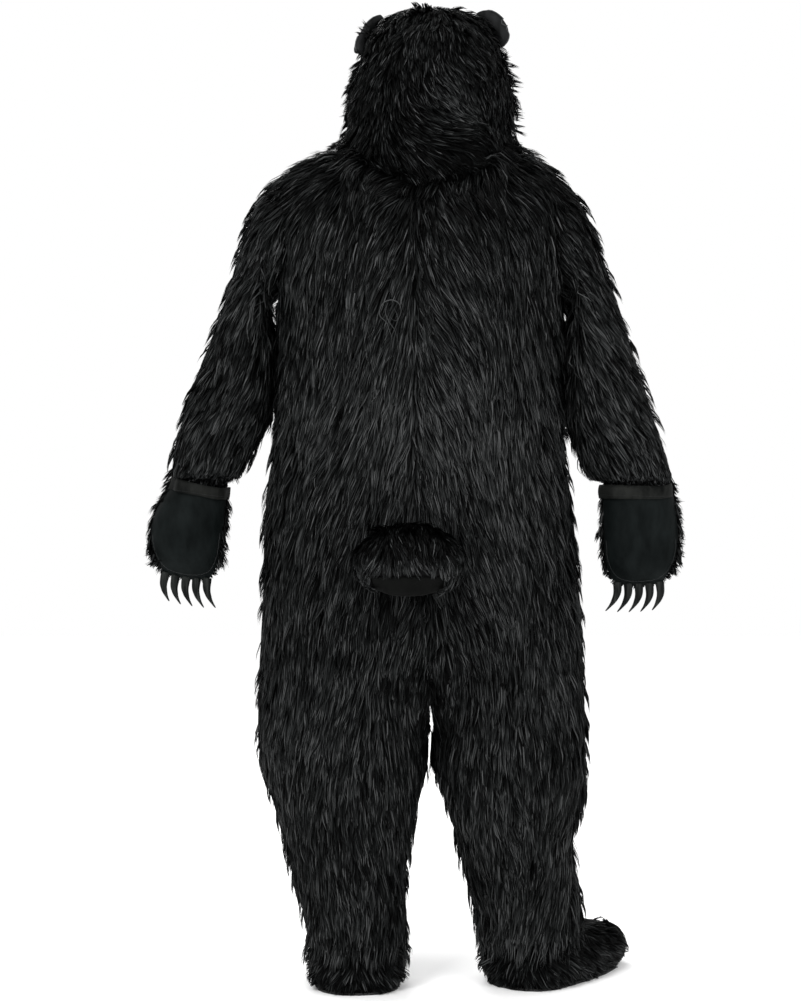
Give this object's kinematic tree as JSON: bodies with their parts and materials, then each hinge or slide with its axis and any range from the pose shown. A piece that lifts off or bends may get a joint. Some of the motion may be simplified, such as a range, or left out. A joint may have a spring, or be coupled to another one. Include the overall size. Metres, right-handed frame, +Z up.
{
  "type": "bear mascot costume",
  "caption": "Black fur bear costume in its worn form: hooded jumpsuit with ears and stub tail, clawed mitts and foot covers, zipped at the front.",
  "frame": {"origin": "between the shoulders, where the wearer carries the costume", "axes": "+Z up, the wearer's front faces -Y and the wearer's left is +X"},
  "size_m": [1.0034, 0.5711, 1.858],
  "materials": {
    "fur": "matt",
    "velour": "matt",
    "claw": "satin",
    "sole": "matt",
    "zip_cloth": "matt",
    "zip_metal": "satin"
  },
  "bodies": {
    "costume": {"back_left": "fur", "back_right": "fur", "front_left": "fur", "front_right": "fur", "sleeve_left": "fur", "sleeve_right": "fur", "hood_left": "fur", "hood_right": "fur", "ear_left_back": "velour", "ear_left_front": "velour", "ear_right_back": "velour", "ear_right_front": "velour", "tail_top": "fur", "tail_under": "velour", "mitt_left_palm": "velour", "mitt_left_back": "fur", "mitt_left_cuff": "velour", "claw_left_1": "claw", "claw_left_2": "claw", "claw_left_3": "claw", "claw_left_4": "claw", "claw_left_5": "claw", "mitt_right_palm": "velour", "mitt_right_back": "fur", "mitt_right_cuff": "velour", "claw_right_1": "claw", "claw_right_2": "claw", "claw_right_3": "claw", "claw_right_4": "claw", "claw_right_5": "claw", "foot_left_upper": "fur", "foot_left_sole": "sole", "foot_right_upper": "fur", "foot_right_sole": "sole", "zip": "zip_cloth", "zip_slider": "zip_metal"},
    "pull": {"zip_pull": "zip_metal"}
  },
  "joints": [
    {"name": "pull_swing", "type": "hinge", "parent": "costume", "child": "pull", "pos_m": [-0.00896, -0.16109, -0.03659], "axis": [-1, 0, 0], "range_deg": [0, 150]}
  ]
}
